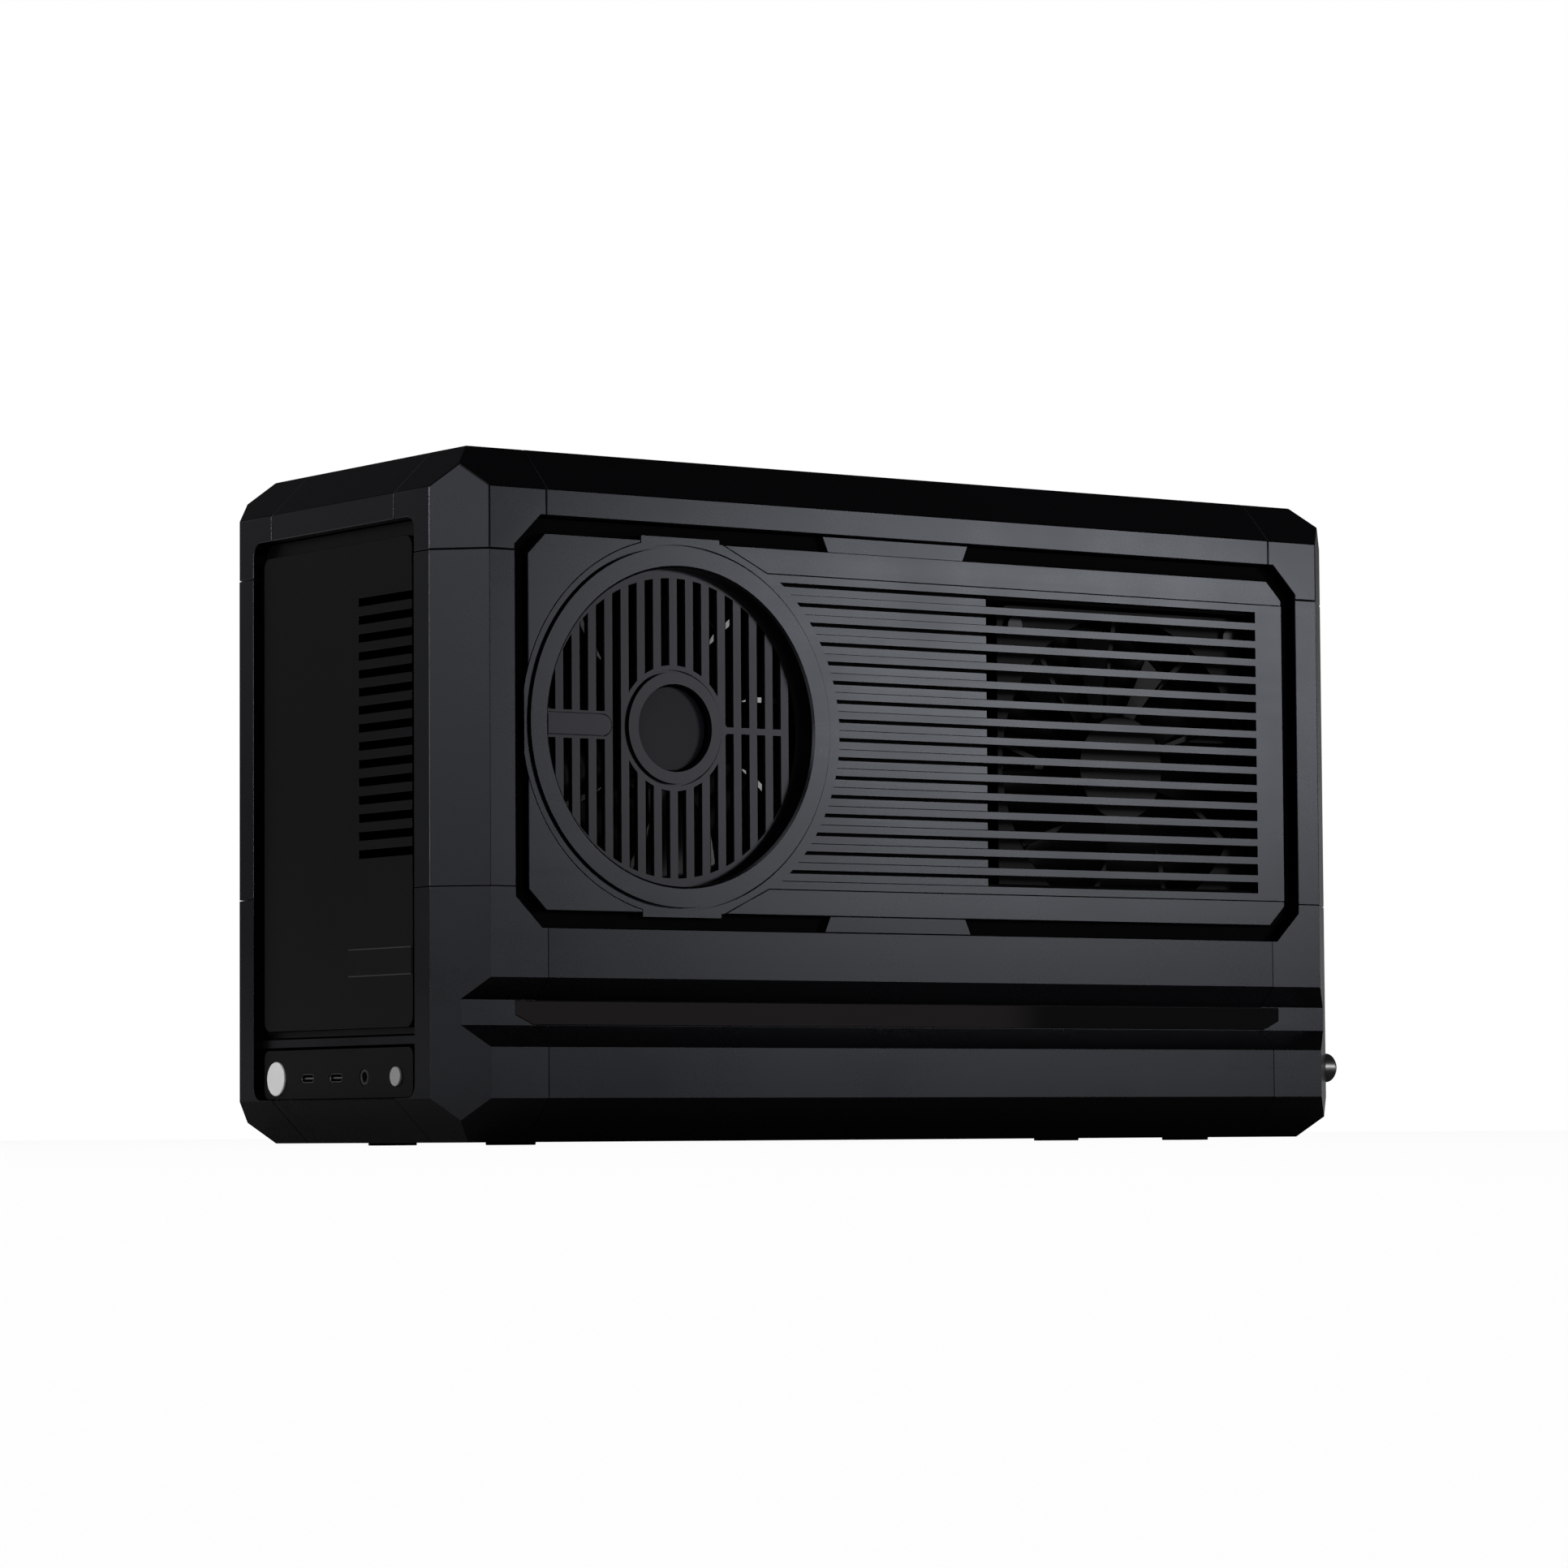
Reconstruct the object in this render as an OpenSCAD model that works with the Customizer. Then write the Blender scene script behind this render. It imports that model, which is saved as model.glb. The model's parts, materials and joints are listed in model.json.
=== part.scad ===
// Small computer case: a frame of chamfered castings and beams, with lift-off panels set in it.
// The long face with the round grille looks towards -Y and the end with the buttons towards -X.

/* [Case] */
// Length, from the end with the buttons to the rear end
case_l = 412; // [400:1:450]
// Width across the two long faces
case_w = 166; // [160:1:190]
// Height of the case without its feet
case_h = 247; // [243:1:280]
// Leg of the chamfer along every outer edge
edge_c = 15.5; // [13:0.5:17]
// Wall of the castings and beams
wall = 5; // [4:0.5:5.5]
// Gap left at the seams between castings and beams
seam = 0.3; // [0.1:0.1:0.6]

/* [Frame] */
// Width of the frame from an outer face to an opening
member = 26; // [24:0.5:30]
// Length of a corner casting along the case
corner_len = 39.5; // [38:0.5:46]
// Height of a top corner casting
corner_drop = 38; // [36.5:0.5:44]
// Height of a bottom corner casting
corner_rise = 90; // [87:0.5:100]
// Height of the sill below the side openings
sill_h = 75.5; // [73:0.5:82]
// Height of the frame above the side openings
head_h = 25; // [24:0.5:28]
// Chamfer in the corners of the side openings
open_c = 11; // [8:0.5:12]
// Corner radius of the end openings
end_r = 5; // [3:0.5:8]
// Thickness of the rim round an opening
rim_t = 3; // [2.5:0.5:3.5]
// Width of the ledge that a panel sits on
ledge_w = 8; // [7:0.5:9]
// Thickness of the ledge
ledge_t = 2; // [1.5:0.25:2.5]

/* [Groove] */
// Height of the lower lip of the long groove
groove_low = 33.5; // [31:0.5:36]
// Height of the upper lip of the long groove
groove_high = 58; // [56:0.5:62]
// Depth of the groove
groove_d = 7.75; // [6:0.25:8.5]
// Thickness of the wall behind the groove
groove_wall = 4; // [3:0.5:5]
// Depth of the seat of the dark strip in the groove
strip_t = 1.2; // [0.8:0.2:1.8]
// Distance from the end of the case to the strip
strip_in = 30.5; // [28:0.5:36]

/* [Panels] */
// Depth of the flange of a panel below the outer face
flange_d = 5.5; // [5:0.25:6.5]
// Thickness of that flange
flange_t = 2; // [1.5:0.25:2.5]
// Clearance of a panel in its opening
panel_gap = 0.4; // [0.2:0.1:0.6]
// Width of the channel round the raised part of a panel
moat = 6.3; // [5:0.1:7]
// Thickness of the raised part of a panel
skin_t = 2.5; // [2:0.25:3]
// Depth of the face of a side panel below the frame
face_d = 1.2; // [0.8:0.1:1.8]
// Diameter of the press pins behind a side panel
pin_d = 4; // [3:0.5:5]
// Place of the upper pins below the side opening's top edge
pin_in = 24; // [20:1:28]
// Radial clearance of pins and shafts in their holes
run_gap = 0.05; // [0.03:0.01:0.08]

/* [Round grille and louvres] */
// Distance that the ring's outer seam runs past the raised panel's top and bottom edges
seam_past = 1.05; // [0.5:0.05:1.3]
// Distance that the ring's outer seam runs past the raised panel's left edge
seam_left = 2.8; // [1.8:0.1:3.2]
// Radius of the raised ring as a share of the seam's radius
ring_share = 0.956; // [0.94:0.002:0.964]
// Width of the ring's face
ring_w = 7.5; // [6:0.25:9]
// Width of the channel cut round the ring
ring_channel = 0.9; // [0.6:0.1:1.2]
// Depth of the grille below the outer face
grille_d = 5; // [4:0.25:5.5]
// Thickness of the grille
grille_t = 2.4; // [1.6:0.2:3]
// Number of upright slots in the grille
slot_n = 16; // [14:2:16]
// Width of a slot as a share of the slots' spacing
slot_share = 0.52; // [0.45:0.01:0.58]
// Radius of the hub ring in the grille
hub_r = 20.2; // [18:0.1:22]
// Radius of the hole in the hub ring
hub_hole_r = 16.2; // [14:0.1:17]
// Number of louvres
louvre_n = 16; // [12:1:16]
// Height of a louvre opening as a share of the louvres' spacing
louvre_share = 0.62; // [0.5:0.01:0.7]
// Distance from the ring's seam to the louvres
louvre_gap = 2; // [1.5:0.25:4]
// Distance from the raised panel's edge to the louvred plate
field_in = 9.55; // [8:0.05:10.5]
// Depth of the closed part of the louvres
louvre_d = 2; // [1:0.25:2.25]
// Length of the open window of the louvres
window_l = 129.6; // [110:0.1:135]
// Distance from the end of the louvres to the panel's edge
window_in = 13.1; // [10:0.1:18]
// Thickness of the louvred plate
insert_t = 3; // [2.75:0.25:3.5]

/* [End door and button panel] */
// Depth of the face of the door and of the button panel
door_d = 2; // [1.5:0.25:2.5]
// Width of the channel at the sides of the door
door_moat = 4.5; // [3.5:0.25:5.5]
// Height of the underside of the door
door_low = 41; // [40.5:0.5:44]
// Number of slots in the door
door_slots = 15; // [10:1:16]
// Spacing of the slots in the door
door_pitch = 6.5; // [6:0.25:6.75]
// Height of a slot in the door
door_slot_h = 3; // [2.5:0.1:3.5]
// Length of a slot in the door
door_slot_l = 37; // [30:0.5:45]
// Height of the top of the button panel
io_top = 34; // [33:0.25:34.5]
// Height of the buttons and ports
io_z = 23.6; // [23:0.1:25]
// Diameter of the power button
power_d = 12.5; // [11:0.1:13]
// Diameter of the reset button
reset_d = 7; // [6:0.1:8]
// Travel of the buttons
travel = 1; // [0.6:0.1:1.4]
// Distance that a button stands out of its panel
button_out = 0.8; // [0.6:0.1:1.2]

/* [Fans] */
// Side of a fan's frame
fan_s = 120; // [120:1:120.5]
// Thickness of a fan
fan_t = 25; // [24:0.5:26]
// Spacing of a fan's screw holes
fan_hole = 105; // [104.5:0.5:105.5]
// Depth of a fan's front below the outer face
fan_d = 11; // [10.75:0.25:13]
// Place of the rear fan's centre from the rear end
fan_in = 104; // [100:0.5:108]
// Distance that the rear fan sits below the middle of the panel
fan_drop = 7.35; // [5:0.05:7.5]
// Number of blades
blade_n = 9; // [7:1:11]

/* [Inside and rear] */
// Distance from the front ledge of the rear opening to the motherboard tray
tray_in = 54; // [51:0.5:54]
// Thickness of the steel sheets
sheet = 1.2; // [1:0.1:1.5]
// Distance from the upper ledge of the rear opening to the motherboard's port window
port_in = 5.25; // [2:0.25:7]
// Height of the standoffs
standoff_h = 6.5; // [6:0.5:7]
// Diameter of the thumbscrews' heads
thumb_d = 11.3; // [9:0.1:12]
// Length of the thumbscrews' heads
thumb_l = 9.5; // [8:0.5:11]
// Height of the thumbscrews
thumb_z = 27; // [26.5:0.5:27.5]
// Distance that the feet stand out of the bottom
foot_out = 1; // [0.8:0.1:1.5]

/* [Hidden] */
$fn = 64;
cut = 1;
black = [0.11, 0.11, 0.12];
graphite = [0.16, 0.165, 0.175];
side_w = case_l - 2 * member;
side_h = case_h - head_h - sill_h;
side_z = sill_h + side_h / 2;
end_w = case_w - 2 * member;
end_low = edge_c + seam;
end_high = case_h - head_h;
end_z = (end_low + end_high) / 2;
ledge_d = flange_d + flange_t;
rim_d = ledge_d + ledge_t;
seam_x = case_l / 2 - corner_len;
seam_y = case_w / 2 - corner_len;
seam_high = case_h - corner_drop;
plateau_w = side_w - 2 * moat;
plateau_h = side_h - 2 * moat;
seam_r = plateau_h / 2 + seam_past;
ring_x = seam_r - seam_left - plateau_w / 2;
ring_r = seam_r * ring_share;
hole_r = ring_r - ring_w;
louvre_r = seam_r + louvre_gap;
field_hh = plateau_h / 2 - field_in;
pitch = (2 * field_hh - 2.8) / louvre_n;
louvre_h = pitch * louvre_share;
grille_pitch = (2 * hole_r - 3) / slot_n;
slot_w = grille_pitch * slot_share;
fan_x = case_l / 2 - fan_in;
fan_z = side_z - fan_drop;
thumb_y = case_w / 2 - edge_c - thumb_d / 2 - 1.35;
shank_r = 2.5;
thread_l = 15;
boss_l = thread_l + 8;
boss_w = 10;
far = case_l;
half = seam / 2;
shift_x = -thumb_l / 2;
inner_x = case_l / 2 - rim_d;
vent_l = (end_w - 2 * moat) / 3;

// Everything stands on the feet, with the middle of the whole length over the origin
module stand() {
    translate([shift_x, 0, foot_out]) children();
}

// Rectangle with 45 degree corners
module octagon(w, h, c) {
    polygon([[-w / 2 + c, -h / 2], [w / 2 - c, -h / 2], [w / 2, -h / 2 + c], [w / 2, h / 2 - c],
        [w / 2 - c, h / 2], [-w / 2 + c, h / 2], [-w / 2, h / 2 - c], [-w / 2, -h / 2 + c]]);
}

module rounded(w, h, r) {
    square([w - 2 * r, h], center = true);
    square([w, h - 2 * r], center = true);
    for (sx = [-1, 1], sy = [-1, 1])
        translate([sx * (w / 2 - r), sy * (h / 2 - r)]) circle(r);
}

// Block with the same chamfer along all twelve edges, standing on z = 0
module chamfered_box(l, w, h, c) {
    intersection() {
        linear_extrude(h) octagon(l, w, c);
        translate([0, w / 2, h / 2]) rotate([90, 0, 0]) linear_extrude(w) octagon(l, h, c);
        translate([-l / 2, 0, h / 2]) rotate([90, 0, 90]) linear_extrude(l) octagon(w, h, c);
    }
}

// Outline drawn on an outer face and thick from depth d0 to depth d1 below it.
// Seen from outside, x runs to the right and y is the height.
module on_face(distance, angle, d0, d1) {
    rotate([0, 0, angle]) translate([0, d1 - distance, 0]) rotate([90, 0, 0]) linear_extrude(d1 - d0) children();
}

module on_front(d0, d1) on_face(case_w / 2, 0, d0, d1) children();
module on_back(d0, d1) on_face(case_w / 2, 180, d0, d1) children();
module on_left(d0, d1) on_face(case_l / 2, -90, d0, d1) children();
module on_right(d0, d1) on_face(case_l / 2, 90, d0, d1) children();

// Round bar that stands on the long face side, between two depths
module front_bar(x, z, r, d0, d1, r_in = 0) {
    on_front(d0, d1) translate([x, z]) difference() {
        circle(r);
        if (r_in > 0) circle(r_in);
    }
}

module side_opening(grow) {
    translate([0, side_z]) octagon(side_w + 2 * grow, side_h + 2 * grow, open_c + grow * (2 - sqrt(2)));
}

module end_opening(grow) {
    translate([0, end_z]) rounded(end_w + 2 * grow, end_high - end_low + 2 * grow, max(end_r + grow, 0.5));
}

module flat_opening(grow) {
    octagon(side_w + 2 * grow, end_w + 2 * grow, open_c + grow * (2 - sqrt(2)));
}

// Section of the wall behind the groove, which stands into the case
module groove_backing() {
    lean = groove_wall * sqrt(2);
    low = groove_low - lean;
    high = groove_high + lean;
    deep = groove_d + groove_wall;
    rotate([90, 0, 90]) linear_extrude(case_l - 2 * wall + 2, center = true)
        polygon([[-case_w / 2 + wall - 1, low + wall - 1], [-case_w / 2 + deep, low + deep],
            [-case_w / 2 + deep, high - deep], [-case_w / 2 + wall - 1, high - wall + 1]]);
}

module groove_cut() {
    rotate([90, 0, 90]) linear_extrude(case_l + 2, center = true)
        polygon([[-case_w / 2 - 1, groove_low - 1], [-case_w / 2 + groove_d, groove_low + groove_d],
            [-case_w / 2 + groove_d, groove_high - groove_d], [-case_w / 2 - 1, groove_high + 1]]);
}

strip_low = groove_low + groove_d + 0.25;
strip_high = groove_high - groove_d - 0.25;

module strip_outline(grow) {
    l = case_l / 2 - strip_in + grow;
    polygon([[-l + 7.5, strip_low - grow], [l - 7.5, strip_low - grow], [l, strip_low + 3.5 - grow],
        [l, strip_high + grow], [-l, strip_high + grow], [-l, strip_low + 3.5 - grow]]);
}

// Boss inside the rear end of the sill, with the hole that takes the long thumbscrew
module sill_port() {
    translate([seam_x - boss_l, -thumb_y - boss_w / 2, wall - 1]) cube([boss_l - half, boss_w, thumb_z + 6 - wall]);
}

module thumb_hole() {
    translate([seam_x - thread_l - 1, -thumb_y, thumb_z]) rotate([0, 90, 0]) cylinder(h = case_l, r = shank_r + run_gap);
}

// Pin holes of a side panel in the ledge
module pin_places(z_list = [sill_h + pin_in, case_h - head_h - pin_in]) {
    for (sx = [-1, 1], z = z_list)
        translate([sx * (side_w / 2 - ledge_w / 2), z]) children();
}

// Hollow frame before it is divided into castings and beams
module frame_shell() {
    inner_c = edge_c - wall * (2 - sqrt(2));
    difference() {
        union() {
            difference() {
                chamfered_box(case_l, case_w, case_h, edge_c);
                difference() {
                    translate([0, 0, wall])
                        chamfered_box(case_l - 2 * wall, case_w - 2 * wall, case_h - 2 * wall, inner_c);
                    groove_backing();
                    mirror([0, 1, 0]) groove_backing();
                    sill_port();
                    mirror([0, 1, 0]) sill_port();
                }
            }
            for (a = [0, 180]) {
                rotate([0, 0, a]) on_front(wall - 1, rim_d) side_opening(rim_t);
                rotate([0, 0, a]) on_left(wall - 1, rim_d) end_opening(rim_t);
            }
            translate([0, 0, wall - 1]) linear_extrude(rim_d - wall + 1) flat_opening(rim_t);
            translate([0, 0, case_h - rim_d]) linear_extrude(rim_d - wall + 1) flat_opening(rim_t);
        }
        for (a = [0, 180]) rotate([0, 0, a]) {
            on_front(-1, ledge_d) side_opening(0);
            on_front(-1, rim_d + 1) side_opening(-ledge_w);
            on_front(0, rim_d + 1) pin_places() circle(pin_d / 2 + run_gap);
            on_left(-1, ledge_d) end_opening(0);
            on_left(-1, rim_d + 1) end_opening(-ledge_w);
            on_front(0, groove_d + strip_t) strip_outline(0.1);
            groove_cut();
        }
        translate([0, 0, -1]) linear_extrude(ledge_d + 1) flat_opening(0);
        translate([0, 0, -1]) linear_extrude(rim_d + 2) flat_opening(-ledge_w);
        translate([0, 0, case_h - ledge_d]) linear_extrude(ledge_d + 1) flat_opening(0);
        translate([0, 0, case_h - rim_d - 1]) linear_extrude(rim_d + 2) flat_opening(-ledge_w);
        on_left(-1, rim_d + 1) translate([0, end_low + 14]) square([end_w - 2 * ledge_w, 25], center = true);
        thumb_hole();
        mirror([0, 1, 0]) thumb_hole();
    }
}

// Part of the frame inside a block given by its low and high corner
module frame_part(low, high) {
    color(graphite) stand() intersection() {
        frame_shell();
        translate(low) cube(high - low);
    }
}

module corner_top(sx, sy) {
    frame_part([sx > 0 ? seam_x + half : -far, sy > 0 ? seam_y + half : -far, seam_high + half],
        [sx > 0 ? far : -seam_x - half, sy > 0 ? far : -seam_y - half, case_h + 1]);
}

module corner_base(sx, sy) {
    frame_part([sx > 0 ? seam_x + half : -far, sy > 0 ? seam_y + half : -far, -1],
        [sx > 0 ? far : -seam_x - half, sy > 0 ? far : -seam_y - half, corner_rise - half]);
}

module post(sx, sy) {
    frame_part([sx > 0 ? seam_x : -far, sy > 0 ? seam_y : -far, corner_rise + half],
        [sx > 0 ? far : -seam_x, sy > 0 ? far : -seam_y, seam_high - half]);
}

module beam_top_long(sy) {
    frame_part([-seam_x + half, sy > 0 ? seam_y : -far, seam_high],
        [seam_x - half, sy > 0 ? far : -seam_y, case_h + 1]);
}

module beam_top_short(sx) {
    frame_part([sx > 0 ? seam_x : -far, -seam_y + half, seam_high],
        [sx > 0 ? far : -seam_x, seam_y - half, case_h + 1]);
}

module sill(sy) {
    frame_part([-seam_x + half, sy > 0 ? seam_y : -far, -1],
        [seam_x - half, sy > 0 ? far : -seam_y, corner_rise]);
}

module beam_base_short(sx) {
    frame_part([sx > 0 ? seam_x : -far, -seam_y + half, -1],
        [sx > 0 ? far : -seam_x, seam_y - half, corner_rise]);
}

// Bar across the end opening, between the button panel and the door
cross_low = io_top + 0.8;
cross_high = door_low - 2.8;

module crossbar_left() {
    color(graphite) stand() on_left(3.5, ledge_d)
        translate([-end_w / 2 + 0.1, cross_low]) square([end_w - 0.2, cross_high - cross_low]);
}

module groove_strip() {
    color([0.03, 0.03, 0.035]) stand() on_front(groove_d, groove_d + strip_t) strip_outline(0);
}

module groove_strip_front() groove_strip();
module groove_strip_back() mirror([0, 1, 0]) groove_strip();

// Outline of the plate that carries the ring and the louvres, grown on every side
module insert_outline(grow) {
    tab_x = 17 + grow;
    reach = plateau_h / 2 + 1.6 + grow;
    left = plateau_w / 2 + ring_x + 1.8 + grow;
    neck_in = 0.268 * seam_r + grow * 0.4;
    neck_out = 0.56 * seam_r + grow * 0.4;
    right = plateau_w / 2 - ring_x + min(grow, 0);
    translate([ring_x, side_z]) {
        intersection() {
            circle(seam_r + grow, $fn = 128);
            translate([-left, -reach]) square([left + seam_r + 5, 2 * reach]);
        }
        translate([-tab_x, -reach]) square([2 * tab_x, 2 * reach]);
        polygon([[0, plateau_h / 2 + grow], [neck_in, plateau_h / 2 + grow], [neck_out, field_hh + grow],
            [right, field_hh + grow], [right, -field_hh - grow], [neck_out, -field_hh - grow],
            [neck_in, -plateau_h / 2 - grow], [0, -plateau_h / 2 - grow]]);
    }
}

// Flanged tray that fills a side opening and has a raised face
module side_tray() {
    on_front(flange_d, ledge_d) side_opening(-panel_gap);
    on_front(face_d, ledge_d) side_opening(-moat);
    on_front(flange_d, rim_d + 1) pin_places() circle(pin_d / 2);
}

// Finger tabs in the channel above and below the raised face
module finger_tabs() {
    tab_x = -11;
    tab_w = 67;
    on_front(face_d + 1.6, ledge_d) for (s = [-1, 1])
        translate([tab_x, side_z]) scale([1, s])
            polygon([[-tab_w / 2 + 3, plateau_h / 2 - 1], [tab_w / 2 - 3, plateau_h / 2 - 1],
                [tab_w / 2, side_h / 2 - panel_gap], [-tab_w / 2, side_h / 2 - panel_gap]]);
}

module side_panel_front() {
    color(graphite) stand() difference() {
        union() {
            side_tray();
            finger_tabs();
        }
        on_front(-cut, face_d + insert_t) insert_outline(0.2);
        on_front(-cut, ledge_d + cut) insert_outline(-4);
    }
}

module ring_disc(r, d0, d1) {
    on_front(d0, d1) translate([ring_x, side_z]) circle(r, $fn = 128);
}

module ring_cone(r0, r1, d0, d1) {
    translate([ring_x, d1 - case_w / 2, side_z]) rotate([90, 0, 0]) cylinder(h = d1 - d0, r1 = r1, r2 = r0, $fn = 128);
}

module louvres(x0, x1) {
    for (i = [0:louvre_n - 1])
        translate([x0, side_z + (i - (louvre_n - 1) / 2) * pitch - louvre_h / 2]) square([x1 - x0, louvre_h]);
}

module louvre_ring_plate() {
    louvre_end = plateau_w / 2 - window_in;
    color(graphite) stand() difference() {
        union() {
            on_front(face_d, face_d + insert_t) insert_outline(0);
            ring_disc(ring_r, 0, face_d + 1);
            ring_disc(hole_r + 3, 0, grille_d);
        }
        difference() {
            ring_disc(ring_r + ring_channel, -cut, face_d + 1);
            ring_disc(ring_r, -2 * cut, face_d + 2);
        }
        ring_disc(hole_r, -cut, grille_d + cut);
        ring_cone(hole_r + 0.8 + cut, hole_r, -cut, 0.8);
        difference() {
            on_front(-cut, face_d + louvre_d) louvres(ring_x, louvre_end);
            ring_disc(louvre_r, -2 * cut, face_d + louvre_d + cut);
        }
        on_front(-cut, face_d + insert_t + cut) louvres(louvre_end - window_l, louvre_end);
    }
}

// Grille of upright slots round a hub cup, with a bare bar on the left and a thin one on the right
module round_grille() {
    bar_h = 7.6;
    bar_end = 3.5 * grille_pitch + slot_w / 2;
    thin_end = 6.8 * grille_pitch;
    color(black) stand() difference() {
        union() {
            ring_disc(hole_r + 3, grille_d, grille_d + grille_t);
            ring_disc(hub_r, grille_d - 1.2, grille_d);
        }
        ring_disc(hub_hole_r, -cut, grille_d + grille_t / 2);
        ring_cone(hub_hole_r + 0.6 + cut, hub_hole_r, grille_d - 1.2 - cut, grille_d - 0.6);
        difference() {
            ring_disc(hub_r + 0.8, grille_d - cut, grille_d + 0.8);
            ring_disc(hub_r, grille_d - 2 * cut, grille_d + 1);
        }
        on_front(grille_d - cut, grille_d + grille_t + cut) translate([ring_x, side_z]) difference() {
            intersection() {
                for (i = [-slot_n / 2:slot_n / 2 - 1])
                    translate([(i + 0.5) * grille_pitch - slot_w / 2, -hole_r]) square([slot_w, 2 * hole_r]);
                circle(hole_r - 0.6, $fn = 128);
            }
            circle(hub_r + 2.6);
            translate([-hole_r, -bar_h / 2]) square([hole_r - bar_end - bar_h / 2, bar_h]);
            translate([-bar_end - bar_h / 2, 0]) circle(bar_h / 2);
            translate([hub_r, -1.2]) square([thin_end - hub_r, 2.4]);
        }
    }
}

// The louvres of the back panel sit over the graphics card only
module side_panel_back() {
    columns = 2;
    gap = 14;
    wide = (plateau_w / 2 - tray_l + 30) / columns - gap;
    color(graphite) stand() rotate([0, 0, 180]) difference() {
        side_tray();
        on_front(face_d + skin_t, ledge_d + cut) side_opening(-moat - 3);
        on_front(-cut, ledge_d) for (c = [0:columns - 1])
            louvres(-plateau_w / 2 + gap + c * (wide + gap), -plateau_w / 2 + gap + c * (wide + gap) + wide);
    }
}

module flat_tray() {
    linear_extrude(flange_t) flat_opening(-panel_gap);
    linear_extrude(ledge_d - face_d) flat_opening(-moat);
}

// Rows of short slots that let warm air out
module vent_rows(n, l, w, step) {
    for (i = [0:n - 1], sy = [-1, 1])
        translate([(i - (n - 1) / 2) * step, sy * (l / 2 + 4)]) square([w, l], center = true);
}

module top_panel() {
    color(graphite) stand() difference() {
        translate([0, 0, case_h - ledge_d]) flat_tray();
        translate([0, 0, case_h - ledge_d - cut]) linear_extrude(ledge_d - face_d - skin_t + cut) flat_opening(-moat - 3);
        translate([0, 0, case_h - ledge_d - cut]) linear_extrude(ledge_d + 2 * cut)
            vent_rows(floor((plateau_w - 40) / 12), vent_l, 4.4, 12);
    }
}

module foot_places() {
    for (sx = [-1, 1], sy = [-1, 1])
        translate([sx * (side_w / 2 - 24), sy * (end_w / 2 - 16)]) children();
}

module base_panel() {
    color(graphite) stand() difference() {
        union() {
            translate([0, 0, flange_d]) linear_extrude(flange_t) flat_opening(-panel_gap);
            linear_extrude(ledge_d) flat_opening(-moat);
        }
        translate([0, 0, skin_t]) linear_extrude(ledge_d) flat_opening(-moat - 3);
        translate([0, 0, -cut]) linear_extrude(ledge_d + 2 * cut)
            vent_rows(floor((plateau_w - 100) / 12), vent_l, 4.4, 12);
        translate([0, 0, -cut]) linear_extrude(cut + 1) foot_places() circle(9.1);
    }
}

module feet() {
    color([0.05, 0.05, 0.05]) stand() translate([0, 0, -foot_out]) linear_extrude(foot_out + 1) foot_places() circle(9);
}

// Upright outline in the end opening between two heights
module end_outline(low, high, side, r) {
    translate([0, (low + high) / 2]) rounded(end_w - 2 * side, high - low, r);
}

module end_door() {
    door_high = end_high - 6;
    wall_t = 2;
    color(black) stand() difference() {
        union() {
            on_left(flange_d, ledge_d) end_outline(cross_high + panel_gap, end_high - panel_gap, panel_gap, end_r - panel_gap);
            on_left(door_d, ledge_d) end_outline(door_low, door_high, door_moat, 4);
        }
        on_left(door_d + skin_t, ledge_d + cut) end_outline(door_low + wall_t, door_high - wall_t, door_moat + wall_t, 2);
        on_left(-cut, flange_d) for (i = [0:door_slots - 1])
            translate([end_w / 2 - door_moat - door_slot_l, door_high - 21.5 - i * door_pitch - door_slot_h / 2])
                square([door_slot_l + cut, door_slot_h]);
    }
}

// Places on the button panel, measured from its middle towards the round grille's side
power_u = 13.8 - end_w / 2;
usb_u = [-0.1877 * end_w, -0.0096 * end_w];
jack_u = 0.165 * end_w;
reset_u = end_w / 2 - 15.7;
board_d = door_d + 12;
pillar_u = [-0.276 * end_w, 0.263 * end_w];

module button_panel() {
    inner_w = end_w - 2 * door_moat - 4;
    color(black) stand() difference() {
        union() {
            difference() {
                union() {
                    on_left(flange_d, ledge_d) intersection() {
                        end_opening(-panel_gap);
                        translate([0, end_low]) square([end_w, 2 * (cross_low - 0.2 - end_low)], center = true);
                    }
                    on_left(door_d, ledge_d) end_outline(end_low + 0.4, io_top, door_moat, 3);
                }
                on_left(door_d + skin_t, ledge_d + cut) translate([0, io_z]) square([inner_w, 60], center = true);
            }
            on_left(door_d + 1, board_d) for (u = pillar_u) translate([u, io_z + 3]) circle(2);
        }
        on_left(-cut, ledge_d + cut) {
            translate([power_u, io_z]) circle(power_d / 2 + run_gap);
            translate([reset_u, io_z]) circle(reset_d / 2 + run_gap);
            for (u = usb_u) translate([u, io_z]) rounded(9.2, 3.5, 1.7);
            translate([jack_u, io_z]) circle(3.1);
        }
    }
}

// Button with a collar behind the panel and a stem that ends short of its switch
module button(u, d) {
    back = door_d + skin_t;
    stand() {
        on_left(door_d - button_out, back) translate([u, io_z]) circle(d / 2);
        on_left(back, back + 1) translate([u, io_z]) circle(d / 2 + 0.8);
        on_left(back, board_d - 2.6 - travel) translate([u, io_z]) circle(1.5);
    }
}

module power_button() color([0.72, 0.72, 0.73]) button(power_u, power_d);
module reset_button() color([0.5, 0.5, 0.5]) button(reset_u, reset_d);

module usb_ports() {
    color([0.6, 0.6, 0.62]) stand() for (u = usb_u) {
        on_left(door_d + 0.2, board_d) translate([u, io_z]) difference() {
            rounded(8.9, 3.2, 1.55);
            rounded(8.3, 2.6, 1.25);
        }
        on_left(board_d - 1, board_d) translate([u, io_z]) rounded(8.6, 2.9, 1.4);
        on_left(door_d + 1, board_d) translate([u, io_z]) square([6.7, 0.7], center = true);
    }
}

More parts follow.
